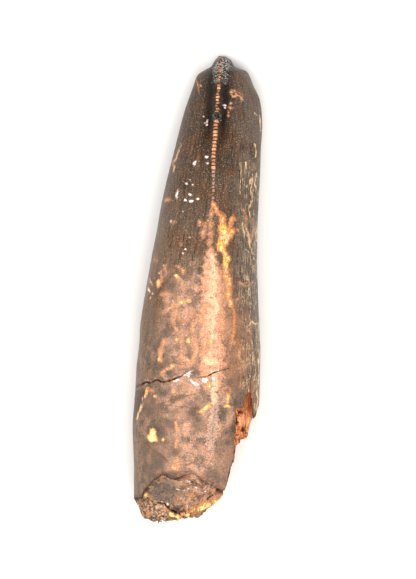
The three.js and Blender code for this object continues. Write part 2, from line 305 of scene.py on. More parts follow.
# Where each column of the unbroken surface meets the broken end, searched downwards in fine steps
search = np.linspace(-9.8, -25, 800)
search_x, search_z = section(search[:, None], angles[None, :])
outside = search[:, None] <= break_place(search_x, search_z)
edge_y = search[np.argmax(outside, axis=0)]
edge_x, edge_z = section(edge_y, angles)

share_down = np.arange(1, LOWER_ROWS + 1)[:, None] / LOWER_ROWS
lower_y = JOIN_Y + share_down * (edge_y[None, :] - JOIN_Y)
outer_y = np.concatenate([np.repeat(upper_rows[:, None], len(angles), 1), lower_y])
outer_x, outer_z = section(outer_y, angles[None, :])
inward = (np.arange(1, BREAK_ROWS)[:, None] / BREAK_ROWS) ** 1.2
break_x = edge_x + (BREAK_CENTRE[0] - edge_x) * inward
break_z = edge_z + (BREAK_CENTRE[1] - edge_z) * inward
break_y = break_place(break_x, break_z)
place = np.stack([
    np.concatenate([outer_x, break_x]),
    np.concatenate([outer_y, break_y]),
    np.concatenate([outer_z, break_z]),
], axis=-1)
rows, columns = place.shape[:2]
outer_count = len(outer_y)
on_break = np.zeros((rows, columns))
on_break[outer_count:] = 1
depth_in = np.zeros((rows, columns))
depth_in[outer_count:] = inward
unbroken = 1 - on_break


def normals_of(grid):
    """Outward directions: the cross product of the grid's slopes round and along the tooth."""
    along = np.gradient(grid, axis=0)
    round_it = np.roll(grid, -1, axis=1) - np.roll(grid, 1, axis=1)
    normal = np.cross(along, round_it)
    return normal / np.maximum(np.linalg.norm(normal, axis=-1, keepdims=True), 1e-9)


# Across and along, the grid is stretched to the solid's box before anything is raised on it
offset = place[..., 0] - ridge_line(place[..., 1])
grid_low, grid_high = place.min(axis=(0, 1)), place.max(axis=(0, 1))
box_low, box_high = (np.array(corner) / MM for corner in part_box("tooth"))
in_box = (place - grid_low) / (grid_high - grid_low)
place[..., :2] = (box_low + in_box * (box_high - box_low))[..., :2]
normal = normals_of(place)
if (normal[MIDDLE_ROW, :, 2] * np.cos(angles)).sum() < 0:
    normal = -normal

x, y, z = np.moveaxis(place, -1, 0)
angle = np.where(angles > np.pi, angles - 2 * np.pi, angles)[None, :] * np.ones((rows, 1))
facing_up = ramp(np.cos(angle), -0.12, 0.05) * unbroken
fine = noise(place, 0.22, 1)
middle_noise = noise(place, 0.6, 2)
broad = noise(place, 2.6, 3)


def band(value, start, full, end, gone):
    """0 outside start and gone, 1 between full and end."""
    return ramp(value, start, full) * (1 - ramp(value, end, gone))


strayed_x = x + 0.11 * noise(place, 0.55, 51) + 0.05 * noise(place, 0.24, 52)
strayed_y = y + 0.13 * noise(place, 0.55, 53) + 0.05 * noise(place, 0.24, 54)
patchy = np.clip(0.95 + 0.35 * noise(place, 0.36, 55), 0.4, 1)


def most(*masks):
    """The largest of some masks at each vertex."""
    return np.maximum.reduce(masks)


def rimmed(inside, rim=0.4):
    """A mark from its distance inside its outline: one half on the outline, 1 at half the rim's width inside
    it and 0 at as much outside."""
    return np.clip(0.5 + inside / rim, 0, 1)


def spots(places, rim=0.4, on=facing_up):
    """Blots with rims of the given width, each given as x, y, half width, half length and any turn in
    degrees."""
    mask = np.zeros_like(x)
    for cx, cy, half_x, half_y, *turned in places:
        turn = np.radians(sum(turned))
        u = ((strayed_x - cx) * np.cos(turn) + (strayed_y - cy) * np.sin(turn)) / half_x
        v = ((strayed_y - cy) * np.cos(turn) - (strayed_x - cx) * np.sin(turn)) / half_y
        mask = np.maximum(mask, rimmed((1 - np.hypot(u, v)) * min(half_x, half_y), rim))
    return mask * on


def rings(places):
    """Ring marks, each given as x, y, half width, half length, half line width, and the degrees where its
    line starts and ends, from +X towards +Y."""
    mask = np.zeros_like(x)
    for cx, cy, half_x, half_y, width, start, end in places:
        u, v = (strayed_x - cx) / half_x, (strayed_y - cy) / half_y
        off = np.abs(np.hypot(u, v) - 1) * (half_x + half_y) / 2
        turn = np.degrees(np.arctan2(v, u)) % 360
        there = ((turn - start) % 360) <= (end - start)
        mask = np.maximum(mask, there * rimmed(width - off))
    return mask * patchy * facing_up


def line_distance(points, x, y):
    """Distance to the nearest place on a line through the points, and that place's share of the line."""
    points = np.array(points, float)
    nearest = np.full_like(x, 99)
    along = np.zeros_like(x)
    for i, (a, b) in enumerate(zip(points[:-1], points[1:])):
        run = b - a
        t = np.clip(((x - a[0]) * run[0] + (y - a[1]) * run[1]) / (run @ run), 0, 1)
        distance = np.hypot(x - a[0] - t * run[0], y - a[1] - t * run[1])
        closer = distance < nearest
        nearest = np.where(closer, distance, nearest)
        along = np.where(closer, (i + t) / (len(points) - 1), along)
    return nearest, along


def lines(places, on=facing_up):
    """Streaks, each given as a half width and a list of points, that stray and thin out."""
    mask = np.zeros_like(x)
    for width, points in places:
        mask = np.maximum(mask, rimmed(width - line_distance(points, strayed_x, strayed_y)[0]))
    return mask * patchy * on


# Relief
swell = 0.09 * (1 - ramp(y, 21, 22.5)) * (
    noise(place, (2.9, 3.3, 2.9), 4) + 0.5 * noise(place, (1.1, 2.9, 1.1), 5))
swell = swell + 0.025 * noise(place, (0.5, 1.1, 0.5), 9) * ramp(y, 4, -8)
# The way along the mesial ridge's curve from the tip, which numbers the denticles and draws out the striae
ridge_steps = np.hypot(np.diff(upper_rows), np.diff(mesial_height(upper_rows)))
arc = np.interp(-y, -upper_rows, np.concatenate([[0], np.cumsum(ridge_steps)])) + np.clip(JOIN_Y - y, 0, None)
number = np.clip((arc / PITCH).astype(int), 0, DENTICLES - 1)
random = np.random.default_rng(21)
denticle_rise = random.uniform(0.8, 1.15, DENTICLES)
denticle_shift = random.uniform(-0.04, 0.04, DENTICLES)
denticle_width = random.uniform(0.85, 1.15, DENTICLES)


def carina(offset, wear, chips):
    """Rise of a saw-edged ridge at an offset across it: a low blade with a rounded denticle at each pitch
    along it. Each denticle has a height, a width and a place across of its own, more so where it is chipped.
    The blade across the ridge and the denticles along it come back as masks too."""
    part = arc / PITCH - number
    width = BLADE_HALF * mix(1, denticle_width[number], chips) * mix(0.6, 1, wear)
    shifted = np.abs(offset - chips * denticle_shift[number]) / width
    across = np.exp(-(shifted**4))
    tooth = ramp(part, 0, 0.25) * (1 - ramp(part, 0.8, 1))
    tooth = tooth * mix(1, denticle_rise[number], chips)
    blade_rise = BLADE_RISE * mix(0.35, 1, wear)
    return across * (blade_rise + DENTICLE_RISE * wear * tooth), across, tooth


crest = np.cos(angle) > 0
mesial_range = crest * ramp(y, 7.4, 8.6) * (1 - ramp(y, 23.1, 23.3)) * unbroken
distal_range = ~crest * ramp(y, -2.4, -1.2) * (1 - ramp(y, 21.2, 21.7))
full_size = ramp(y, 11, 12.5) * (1 - 0.55 * ramp(y, 17.2, 17.6))
mesial_rise, mesial_across, mesial_tooth = carina(offset, full_size, mix(0.6, 1.5, ramp(y, 16.8, 17.5)))
distal_rise = carina(offset, ramp(y, -2, 1), 0.3)[0]
lump = np.exp(-(((x - LUMP_PLACE[0]) / 0.42) ** 4 + ((y - LUMP_PLACE[1]) / 0.45) ** 4)) * facing_up
chipped = np.exp(-((np.abs(offset - 0.15) / 0.85) ** 4)) * ramp(y, 20.1, 20.9) * facing_up
chip_steps = noise(place, 0.3, 31)

zigzag = 0.07 * noise(place, 0.42, 32) + 0.06 * noise(place, 0.2, 33)
crack_line = [
    (-6.6, -9.85), (-6.2, -9.72), (-5.6, -9.5), (-5.15, -9.3), (-4.6, -9.3), (-4.3, -9.1), (-4, -9.03),
    (-3.7, -9.17), (-3.4, -9.22), (-2.9, -9.12), (-2.3, -8.9), (-1.78, -8.67), (-1.3, -8.45), (-0.9, -8.6),
    (-0.3, -8.8), (0.25, -8.78), (0.85, -8.68), (1.3, -8.5), (1.75, -8.3), (2.35, -8.08), (3.1, -7.9)]
crack_distance, crack_along = line_distance(crack_line, x, y + zigzag)
crack_width = mix(0.035, 0.015, ramp(crack_along, 0.45, 0.6)) * (1 - 0.8 * ramp(crack_along, 0.85, 1))
crack_width = crack_width + 0.03 * noise(place, 0.5, 34) - 0.07 * band(crack_along, 0.58, 0.64, 0.7, 0.76)
crack = rimmed(crack_width - crack_distance) * facing_up
side_line = y + 9.9 + 0.25 * np.sin(z * 1.3) + zigzag
side_crack = rimmed(0.06 - np.abs(side_line)) * (x < -5.5) * (1 - facing_up)
crack = most(crack, side_crack * ramp(z, 4, 7) * unbroken)
crack_lips = np.exp(-(((crack_distance - 0.22) / 0.16) ** 2)) * facing_up * ramp(middle_noise, -0.1, 0.4)
crack_lips = crack_lips * (1 - ramp(crack_along, 0.75, 0.9))
fine_cracks = lines([
    (0.08, [(-5.4, -15.2), (-4, -16.3), (-2.8, -17.2), (-2, -17.5), (-0.8, -17.4), (0.05, -17.1),
            (-0.05, -16.65)]),
    (0.07, [(-4, -11.5), (-3, -11.1), (-1.6, -10.7), (-0.2, -10.4)]),
    (0.07, [(-2.8, -11.5), (-1.2, -11.65), (0.25, -11.9)]),
    (0.06, [(-3.2, -18.9), (-1.9, -18.2), (-0.6, -18.1)])])

# Marks at the places where the tooth shows them: crumbs, iron, stains, painted highlight dots, grey blots and
# pale veins
white_crumbs = [
    (0.72, -8.98, 0.26, 0.24), (1.62, -8.95, 0.18, 0.2), (-0.4, -9.17, 0.34, 0.1, -32),
    (-0.1, -9.37, 0.2, 0.16), (-2.05, -9, 0.28, 0.09, 20), (2.1, -8.2, 0.18, 0.12), (1.8, -9.75, 0.1, 0.12),
    (-1, -8.35, 0.3, 0.07, 25), (-1.2, -8.5, 0.3, 0.06, 5), (-0.9, -8.62, 0.12, 0.1)]
yellow_crumbs = [
    (-4.5, -14.8, 0.42, 0.38), (-4.42, -14.3, 0.3, 0.36, -6), (-3.4, -14.95, 0.08, 0.07),
    (0.83, -11.85, 0.5, 0.13, 28), (2.95, -11.6, 0.2, 0.12), (3, -10.9, 0.1, 0.26), (2.6, 5.65, 0.26, 0.26),
    (2.33, 4.06, 0.2, 0.26), (3, 3, 0.16, 0.25), (2.8, 1.2, 0.14, 0.16), (3.1, -0.5, 0.14, 0.2),
    (-0.95, -5.1, 0.16, 0.22), (-2, -5, 0.08, 0.07), (1.35, -5.2, 0.15, 0.22), (-2.12, 1.24, 0.16, 0.14),
    (-3.86, 0.54, 0.12, 0.22, -15), (1.15, -9.5, 0.12, 0.16), (-5.05, -10.2, 0.06, 0.18, -15),
    (-3.72, -7, 0.12, 0.14), (-2.56, -7.6, 0.12, 0.1), (-0.82, -1.15, 0.14, 0.12),
    (-1.58, -1.3, 0.16, 0.12, 20), (-4.2, -10.7, 0.06, 0.06), (-2.45, -10.1, 0.08, 0.07)]
iron_blots = [
    (0.4, 20.3, 0.06, 0.06), (0.08, 20.42, 0.02, 0.12, 10), (3.3, 18.5, 0.06, 0.07),
    (3.35, 18.05, 0.1, 0.06), (3.05, 17.3, 0.06, 0.07), (3.15, 17.65, 0.04, 0.06),
    (3.63, 7.1, 0.13, 0.2, 20), (3.3, 6.65, 0.15, 0.26), (3.45, 5.75, 0.28, 0.34), (2.65, 5.5, 0.42, 0.55),
    (4, 5.85, 0.1, 0.1), (1.5, 8.3, 0.12, 0.25)]
iron_lines = [
    (0.24, [(1.6, 8.4), (2, 7.8), (2.5, 7.2), (2.35, 6.5), (2.6, 5.9)]),
    (0.2, [(3.45, 7), (3.2, 6.3), (2.9, 5.6)]), (0.45, [(2.5, 6.2), (2.6, 5.3), (2.35, 4.2)]),
    (0.3, [(3.4, 5.9), (3.2, 5.2), (2.8, 4.6)]),
    (0.28, [(2.4, 4.4), (2.85, 3.2), (2.85, 2.1), (2.8, 1.3), (3.1, 0.9), (3.1, -0.6), (3.35, -1.6)]),
    (0.07, [(3.3, -1.5), (3.7, -2.1), (3.73, -2.9), (3.6, -4.3), (3.5, -5.1)]),
    (0.07, [(3.9, 19.45), (4.2, 19.35), (4.42, 19.02)]), (0.05, [(3.95, 19.7), (4.3, 19.6), (4.5, 19.4)]),
    (0.03, [(4.4, 19.2), (4.5, 18.9)])]
iron_rings = [(3.65, 19.57, 0.25, 0.27, 0.06, 20, 380)]
stain_blots = [
    (1.4, 7.5, 0.2, 0.4), (1.32, 6.5, 0.22, 0.45), (1.25, 5.5, 0.22, 0.4), (1.2, 4.7, 0.25, 0.35),
    (0.29, 6.6, 0.24, 0.27), (0.6, 5.6, 0.24, 0.41), (0.8, 6.3, 0.16, 0.27), (-2.35, 6.68, 0.18, 0.14),
    (-1.6, 4.45, 0.14, 0.14), (-1.45, 1.85, 0.32, 0.26, 20), (-1.95, 2.2, 0.2, 0.14),
    (-3.2, 2.15, 0.14, 0.27, -20), (-3.1, -0.5, 0.46, 0.18), (-2.4, 12.6, 0.09, 0.22),
    (-3, 8.9, 0.32, 0.16), (-2.92, -1.97, 0.22, 0.19, 30), (-2.38, -1.57, 0.24, 0.19),
    (-2.12, -2.25, 0.18, 0.46), (-1.78, -2.8, 0.18, 0.32), (-1.45, -3.5, 0.2, 0.2),
    (-1.12, -3.03, 0.18, 0.16), (-0.58, -2.4, 0.32, 0.27), (-0.45, -3.8, 0.27, 0.57),
    (-0.1, -3.1, 0.22, 0.54), (0.88, -1.6, 0.46, 0.35), (0.5, -2.2, 0.34, 0.34), (0.3, -3, 0.27, 0.54),
    (-3.25, -5.2, 0.3, 0.22), (-1.58, -5.2, 0.27, 0.19), (-0.4, -5, 0.41, 0.27), (-1.6, -6.6, 0.16, 0.32),
    (0.7, -5.2, 0.35, 0.68), (0.5, -6.4, 0.27, 0.54), (-2.2, -17.6, 0.49, 0.49), (-0.7, -14, 0.18, 0.14),
    (-4.6, -10.1, 0.19, 0.16), (-1.1, -9.9, 0.19, 0.14), (4, -1, 0.16, 0.14), (3.6, -5.2, 0.32, 0.24),
    (3.3, -5.4, 0.16, 0.41), (2.5, -3.5, 0.27, 1.22)]
stain_lines = [
    (0.1, [(2.2, 2), (2.35, 0.4), (2.5, -1.5), (2.3, -3.2)]), (0.14, [(4.2, -5.8), (4.1, -6.6)]),
    (0.14, [(-3.6, 1.7), (-3.5, 0.95), (-3.85, 0.35)]), (0.16, [(-3.45, -0.5), (-2.8, -0.6)]),
    (0.19, [(-2.95, -2), (-2.37, -1.57), (-1.62, -1.3), (-0.8, -1.1)]),
    (0.16, [(-2.2, -2.3), (-2.32, -3), (-2.32, -3.7), (-2.05, -4.15)]),
    (0.26, [(-0.25, -5.4), (-0.1, -6.2), (-0.3, -6.9), (-0.7, -7.3), (-1.1, -7.1), (-1.58, -6.85)]),
    (0.24, [(-3.2, -5.2), (-3.55, -5.8), (-3.6, -6.6), (-3.72, -7.1)]),
    (0.19, [(-3.55, -8.4), (-3.1, -7.85), (-2.56, -7.6), (-1.5, -7.55)]),
    (0.13, [(4.2, 0.66), (4.6, 0.42), (4.9, 0.38), (5.3, 0.6)]),
    (0.13, [(4.26, -6.3), (4.15, -6.8), (4.3, -7.3), (4.15, -7.9)]),
    (0.08, [(-1.55, -4), (-1.62, -5), (-1.6, -6.4)]), (0.21, [(-2.1, -13.2), (-2, -14)]),
    (0.19, [(-2.05, -15.2), (-2.15, -15.7)]), (0.22, [(-2.1, -16.9), (-2.15, -18)]),
    (0.1, [(4.6, 7.9), (4.8, 7.2), (4.9, 6.1), (5.2, 5.2)]), (0.08, [(5.5, 6.9), (5.55, 5.6), (5.3, 4.6)])]
stain_rings = [
    (-4.15, 3.05, 0.18, 0.26, 0.07, 100, 340), (-0.38, -2.8, 0.26, 0.26, 0.07, 0, 360),
    (3.02, -6.6, 0.22, 0.26, 0.07, 0, 360), (2.9, -10, 0.28, 0.32, 0.09, 0, 360)]
# Painted highlights: small white dots that stand in for glints off the glossy enamel, each raised a little
glint_dots = spots([
    (2.73, 18.3, 0.15, 0.1, -35), (2.79, 18, 0.07, 0.07), (1.05, 17, 0.05, 0.05),
    (0.95, 16.7, 0.05, 0.1, -20), (0.77, 16.5, 0.05, 0.06), (0.9, 16.3, 0.07, 0.05),
    (0.65, 17.3, 0.05, 0.05), (0.9, 13.1, 0.15, 0.14), (-0.3, 12.5, 0.07, 0.15, -20),
    (0.97, 12.5, 0.1, 0.07), (-0.75, 11, 0.07, 0.07), (-1.15, 10.5, 0.1, 0.12, -30),
    (-0.5, 10.5, 0.07, 0.07), (-1.95, 9.5, 0.07, 0.3, -10), (-0.75, 9.4, 0.12, 0.1), (-0.7, 8.8, 0.2, 0.13),
    (0.05, 9, 0.16, 0.11, 25), (-1.3, 8.95, 0.1, 0.09), (-1.5, 7.7, 0.07, 0.08), (-2.65, 6.75, 0.08, 0.07),
    (-0.75, 5.15, 0.07, 0.06), (-1.1, 4, 0.1, 0.1), (-1.45, 3.6, 0.08, 0.1), (-4.7, 0.8, 0.05, 0.15, 10),
    (-4.8, -0.1, 0.05, 0.17, 10), (-4.4, -0.45, 0.08, 0.07), (-4.48, 0.45, 0.05, 0.06),
    (-4.22, 1.12, 0.05, 0.07), (-3.8, 1.54, 0.06, 0.05), (-3.3, 2.38, 0.06, 0.06),
    (-4.73, -0.9, 0.05, 0.08)], 0.3)
grey_blots = [
    (-1.85, -3.4, 0.2, 0.42), (-2.75, -8.15, 0.5, 0.3), (-0.25, -8.35, 0.4, 0.3), (-0.5, -1.5, 0.35, 0.3),
    (-3.05, -4.4, 0.25, 0.3), (-3.1, -5.85, 0.2, 0.2), (-3.7, -7.6, 0.28, 0.3), (-0.85, -6.2, 0.35, 0.5),
    (0.05, -4.3, 0.14, 0.7), (-2.6, 0.6, 0.5, 0.7), (-3.1, -10.3, 0.4, 0.3), (-0.4, -12.3, 0.4, 0.35),
    (0.15, -12.9, 0.35, 0.3), (-2.4, -12.2, 0.35, 0.3), (-2.3, -16.3, 0.4, 0.25), (-2.8, -13.3, 0.5, 0.45),
    (-4.1, -17.6, 0.6, 0.5), (-3, -18.7, 1.2, 0.35), (3.35, -14.5, 0.35, 0.8), (2.7, -12.3, 0.4, 0.6),
    (1.8, -18.7, 0.9, 0.35, -20), (-3.6, -14.2, 0.5, 0.5)]

veins = lines([
    (0.054, [(4.74, 12.7), (4.85, 12.2), (5.05, 11.5)]), (0.054, [(5.35, 11.1), (5.2, 10.5), (4.95, 10.2)]),
    (0.054, [(5.5, 11.5), (5.45, 10.4), (5.5, 9.15), (5.15, 8), (5.2, 7.4)]),
    (0.045, [(5.9, 11.6), (5.75, 10.6), (6.1, 9.6)]), (0.054, [(4.43, 6.6), (4.6, 5.6), (4.66, 5)]),
    (0.063, [(4.9, 6), (5.2, 5), (5.3, 4.1), (5.6, 2.9)]), (0.045, [(5.5, 6.2), (5.35, 4.4)]),
    (0.045, [(5.95, 6.7), (5.9, 5.3), (6, 4.2)]), (0.045, [(5.28, 0.57), (5.05, -0.8)]),
    (0.054, [(4.2, 0.7), (4.6, 0.42), (4.9, 0.38), (5.3, 0.6)]),
    (0.081, [(5, -3.6), (5.3, -3.2), (5.6, -3.5), (5.97, -3.3)]),
    (0.054, [(6.04, -3.4), (6.1, -5.2), (6.12, -7.2), (6.1, -9.5)]), (0.045, [(5.5, -6.2), (5.58, -8)]),
    (0.045, [(6.2, 17.4), (6.3, 16.6), (6.28, 15.8)]), (0.045, [(5.7, 17.7), (5.95, 17.4)]),
    (0.045, [(5.95, -10), (5.95, -11.2), (6, -12.2)]), (0.045, [(4.8, 3.9), (5.1, 3.6), (5.15, 3)]),
    (0.045, [(5.7, 14.6), (5.85, 13.9), (5.7, 13.2)]), (0.036, [(4.2, 12.6), (4.35, 11.3), (4.3, 9.6)]),
    (0.06, [(-1.6, 14.5), (-1.85, 13.8), (-2.2, 12.8)]),
    (0.09, [(-5.1, -10.3), (-5.4, -10.8), (-5.45, -11.4), (-5.8, -12.2), (-6.1, -13)]),
    (0.036, [(-2.35, 12.4), (-2.45, 11.6)])])
sliver = lines([
    (0.01, [(4.9, -9.24), (5.08, -9.93), (5.3, -10.4), (5.56, -10.96), (5.74, -11.36), (5.82, -11.9)])])
rust_strip = lines([(0.0, [(5.5, -9.2), (5.56, -9.9), (5.5, -10.7)]), (0.06, [(5.4, -10.3), (5.5, -10.7)])])

# The broken end's own marks, and those of the rusty step in it
end_part = on_break * ramp(depth_in, 0, 0.06)
end_crumbs = [(-5.15, -20.48, 0.25, 0.27), (2.3, -20.75, 0.1, 0.2, -20), (1.65, -21.1, 0.14, 0.1, 20),
              (-0.95, -22.4, 0.28, 0.17, 20), (-0.38, -22.05, 0.15, 0.2), (0.03, -21.9, 0.11, 0.18)]
end_rims = [(0.24, [(0.4, -21.7), (0.8, -21.58), (1.2, -21.5), (1.75, -21.3)]),
            (0.19, [(-2.66, -22.45), (-2.3, -22.6), (-2, -22.8)])]
glints = spots([
    (-0.84, -19.15, 0.16, 0.08), (-0.23, -19.8, 0.14, 0.08, 10), (-2, -19.9, 0.16, 0.06, -35),
    (-3.6, -21.33, 0.15, 0.07, -5), (-3.05, -21.47, 0.14, 0.12, -40), (-0.84, -19.9, 0.14, 0.03, 50),
    (0.75, -20.2, 0.1, 0.08)], 0.4, end_part)
end_iron = [
    (-3.57, -18.8, 0.12, 0.16), (-4.7, -20.9, 0.2, 0.1, 25), (-4.6, -21.5, 0.26, 0.1, -20),
    (-5.65, -21.5, 0.12, 0.2), (-0.56, -20.67, 0.34, 0.14), (-4.9, -22.2, 0.16, 0.26),
    (1.6, -20.2, 0.22, 0.14), (0.8, -20.3, 0.16, 0.1), (-2, -20.9, 0.2, 0.16), (-1.35, -21.35, 0.14, 0.1),
    (-1.3, -18.85, 0.5, 0.1, 12), (2.2, -20.5, 0.16, 0.12), (-2.3, -19.5, 0.12, 0.1),
    (-0.6, -22.55, 0.2, 0.1)]
end_iron_lines = [
    (0.2, [(-1.6, -22.35), (-0.9, -22.2), (-0.2, -21.85), (0.5, -21.45), (1.3, -21.2), (1.9, -21.1)]),
    (0.3, [(0.3, -22), (1, -21.75), (1.6, -21.4), (2.2, -20.8)]), (0.2, [(-2.6, -22.7), (-1.6, -22.8)]),
    (0.14, [(-3.3, -21.9), (-2.6, -22.3)]), (0.12, [(0.2, -22.1), (1, -21.85)])]
cracks_end = lines([(0.05, [(-3.9, -21.4), (-3.3, -21.5), (-2.9, -21.9), (-2.7, -22.1)]),
                    (0.08, [(-2.7, -22.1), (-2.3, -22.25), (-1.8, -22.45)])], end_part)
end_shadow = [
    (0.16, [(0.1, -18.75), (0.45, -19.15), (1.4, -19.45), (1.9, -19.75), (2.3, -20.1)]),
    (0.24, [(2.1, -20), (2.5, -20.15)]), (0.12, [(-2.1, -18.9), (-1.6, -18.75), (-0.9, -18.6)]),
    (0.3, [(-6, -20.8), (-5.6, -20.6), (-5.5, -20.2), (-5.1, -19.9)]),
    (0.2, [(-2.2, -21.85), (-1.4, -22.1)]), (0.12, [(-5.6, -21.1), (-5, -21)]),
    (0.1, [(-4.9, -22.9), (-4.2, -22.8), (-3.8, -22.9)])]
facet_corners = np.array([(4.16, -12.6), (4.16, -13.76), (5.22, -13.8), (5.46, -12.22)])
# How far inside the smooth facet's outline a place lies: the least of its distances from the four sides
in_facet = np.full_like(x, 9)
for (ax, ay), (bx, by) in zip(facet_corners, np.roll(facet_corners, -1, axis=0)):
    length = np.hypot(bx - ax, by - ay)
    in_facet = np.minimum(in_facet, ((bx - ax) * (y - ay) - (by - ay) * (x - ax)) / length)
step_top = on_break * ramp(z, 7, 9)
facet = ramp(in_facet, -0.04, 0.04) * step_top
rust_pale = lines([
    (0.06, [(4.17, -12.65), (4.14, -13.2), (4.08, -13.7)]),
    (0.08, [(5.24, -12.3), (5.14, -13.1), (4.98, -14)]), (0.05, [(3.75, -14.8), (4.1, -15.3)]),
    (0.05, [(4.4, -14.1), (4.52, -14.65)]), (0.06, [(5.16, -13.9), (5.08, -14.15)]),
    (0.07, [(4.5, -12.05), (4.65, -12.1)])], step_top)
rust_dark = lines([
    (0.05, [(3.72, -14.6), (4.05, -15.15)]), (0.16, [(4.2, -13.85), (4.5, -13.98), (4.9, -14)]),
    (0.1, [(4.9, -13.6), (4.92, -13.8)]), (0.09, [(3.8, -12.7), (3.95, -13.1), (3.9, -13.7)]),
    (0.12, [(4.1, -12.3), (4.5, -12.25), (5, -12.1)]), (0.06, [(5.02, -12.5), (4.92, -13), (4.82, -13.4)]),
    (0.03, [(5.3, -10.9), (5.5, -11.3), (5.52, -12)]), (0.05, [(4.3, -14.4), (4.4, -15)]),
    (0.04, [(4.7, -14.2), (4.8, -14.7)]), (0.1, [(4.9, -11.2), (5.1, -11)])], step_top)

white = spots(white_crumbs)
yellow = spots(yellow_crumbs)
iron = most(spots(iron_blots), lines(iron_lines), rings(iron_rings))
stain = most(spots(stain_blots, 0.5), lines(stain_lines), rings(stain_rings))
yellow_end = most(spots(end_crumbs, 0.4, end_part), lines(end_rims, end_part))
iron_end = most(spots(end_iron, 0.4, end_part), lines(end_iron_lines, end_part))

crumbs = spots(white_crumbs + yellow_crumbs, 0.6)
granular = 0.13 * noise(place, 0.5, 7) + 0.08 * noise(place, 0.22, 8)
# How far each form stands out of the surface, in millimetres, or sinks in where the number is below 0
forms = [
    (1, swell),
    (1, mesial_range * mesial_rise),
    (1, distal_range * distal_rise),
    (0.22, lump * (1 + 0.3 * fine)),
    (0.09, chipped * chip_steps * (1 - mesial_across)),
    (-0.1, ramp(crack, 0.25, 0.6)),
    (0.03, crack_lips),
    (-0.05, ramp(fine_cracks, 0.3, 0.7)),
    (0.09, ramp(crumbs, 0.2, 1)),
    (0.06, ramp(most(iron, 0.8 * stain), 0.3, 0.9)),
    (0.04, glint_dots),
    (1, end_part * granular * mix(1, 0.35, facet)),
    (0.12, facet),
    (-0.12, ramp(rust_dark, 0.2, 0.8)),
    (0.14, ramp(yellow_end, 0.3, 0.9)),
    (0.08, ramp(glints, 0.3, 0.9)),
    (0.07, ramp(iron_end, 0.3, 0.9)),
    (-0.2, ramp(cracks_end, 0.3, 0.7))]
rise = sum(height * form for height, form in forms)
bare = place
place = place + normal * rise[..., None]

# Points at the tip and in the middle of the break close the surface
tip_point = place[0].mean(axis=0) + (0, 0.01, 0)
break_point = place[-1].mean(axis=0)
points = np.concatenate([place.reshape(-1, 3), tip_point[None], break_point[None]])
points[:, 2] = np.maximum(points[:, 2], 0)
own_low, own_high = points.min(0), points.max(0)
fit = np.minimum(1, (box_high - box_low) / (own_high - own_low))
spare = (box_high - box_low) - (own_high - own_low) * fit
points = (points - own_low) * fit + box_low + spare / 2 * (1, 1, 0)

index = np.arange(rows * columns).reshape(rows, columns)
across_next = np.roll(index, -1, axis=1)
quads = np.stack([index[:-1], index[1:], across_next[1:], across_next[:-1]], axis=-1).reshape(-1, 4)
tip_fan = np.stack([np.full(columns, rows * columns), index[0], across_next[0]], axis=-1)
break_fan = np.stack([np.full(columns, rows * columns + 1), across_next[-1], index[-1]], axis=-1)
corners = np.concatenate([quads.ravel(), tip_fan.ravel(), break_fan.ravel()])
sizes = np.concatenate([np.full(len(quads), 4), np.full(2 * columns, 3)])
starts = np.concatenate([[0], np.cumsum(sizes)[:-1]])

mesh = bpy.data.meshes.new("fossil_tooth")
mesh.vertices.add(len(points))
mesh.vertices.foreach_set("co", (points * MM).astype(np.float32).ravel())
mesh.loops.add(len(corners))
mesh.loops.foreach_set("vertex_index", corners.astype(np.int32))
mesh.polygons.add(len(sizes))
mesh.polygons.foreach_set("loop_start", starts.astype(np.int32))
mesh.update(calc_edges=True)
mesh.validate()
mesh.polygons.foreach_set("use_smooth", np.ones(len(mesh.polygons), bool))
tooth = bpy.data.objects.new("fossil_tooth", mesh)
scene.collection.objects.link(tooth)


def keep(name, values):
    """Stores one number for each vertex under a name that the finish reads."""
    values = np.concatenate([values.ravel(), [values[0].mean()], [values[-1].mean()]])
    layer = mesh.attributes.new(name, "FLOAT", "POINT")
    layer.data.foreach_set("value", np.clip(values, 0, 1).astype(np.float32))


# Colour zones, each a mask that is 0 where the zone is absent and 1 where it is full
slow = noise(bare, (1.3, 3, 1.3), 41)
quick = noise(bare, (0.45, 0.8, 0.45), 42)
centre = np.interp(y, [-10, -8, -6, -4, -2, 0, 2, 4, 5], [1.5, 1.5, 1.45, 1.5, 1.5, 1.45, 1.45, 1.3, 1.2])
reach = np.interp(y, [-12, -8, -4, 0, 1.5, 2.8, 3.8, 4.5], [1.3, 1.25, 1.2, 1.1, 0.95, 0.65, 0.3, -0.1])
# A pale band down the crest: partly the dentine's own paler colour, partly a painted highlight where the
# overhead light glares along the crest
pale_and_highlight_band = 1 - ramp(np.abs(x - centre) - reach, -0.5, 0.35)
pale_and_highlight_band = pale_and_highlight_band * band(y, -12, -9.5, 4, 5.2) * (1 + 0.12 * quick)
# The cream core of the crest band: partly the dentine's own cream colour, partly a painted highlight at the
# centre of the glare along the crest
cream_and_highlight_core = np.exp(-((x - centre - 0.2 * slow) / 0.62) ** 2) * band(y, -9, -7.5, 2.5, 3.6) * (0.5 + 0.35 * quick)
low_pale = band(x, -4.4, -2.4 + 0.5 * ramp(y, -2, 3), 2.4, 4.2) * band(y, -12, -9.5, -2, 4.6)
low_pale = low_pale * (0.78 + 0.3 * slow + 0.2 * quick)
root_pale = band(x, -6.3, -1, 3.4, 6.2) * ramp(y, -8.5, -11) * (0.6 + 0.3 * slow + 0.2 * quick)
root_low = ramp(y, -13, -16.5) * band(x, -5.5, -1, 5, 7) * 0.25
under = (1 - facing_up) * ramp(y, 0, -10) * (0.3 + 0.3 * slow)
# The pale zone takes in the crest band, and with it part of that painted highlight
pale = most(most(pale_and_highlight_band, low_pale, np.clip(root_pale + root_low, 0, 1)) * facing_up, under * unbroken)
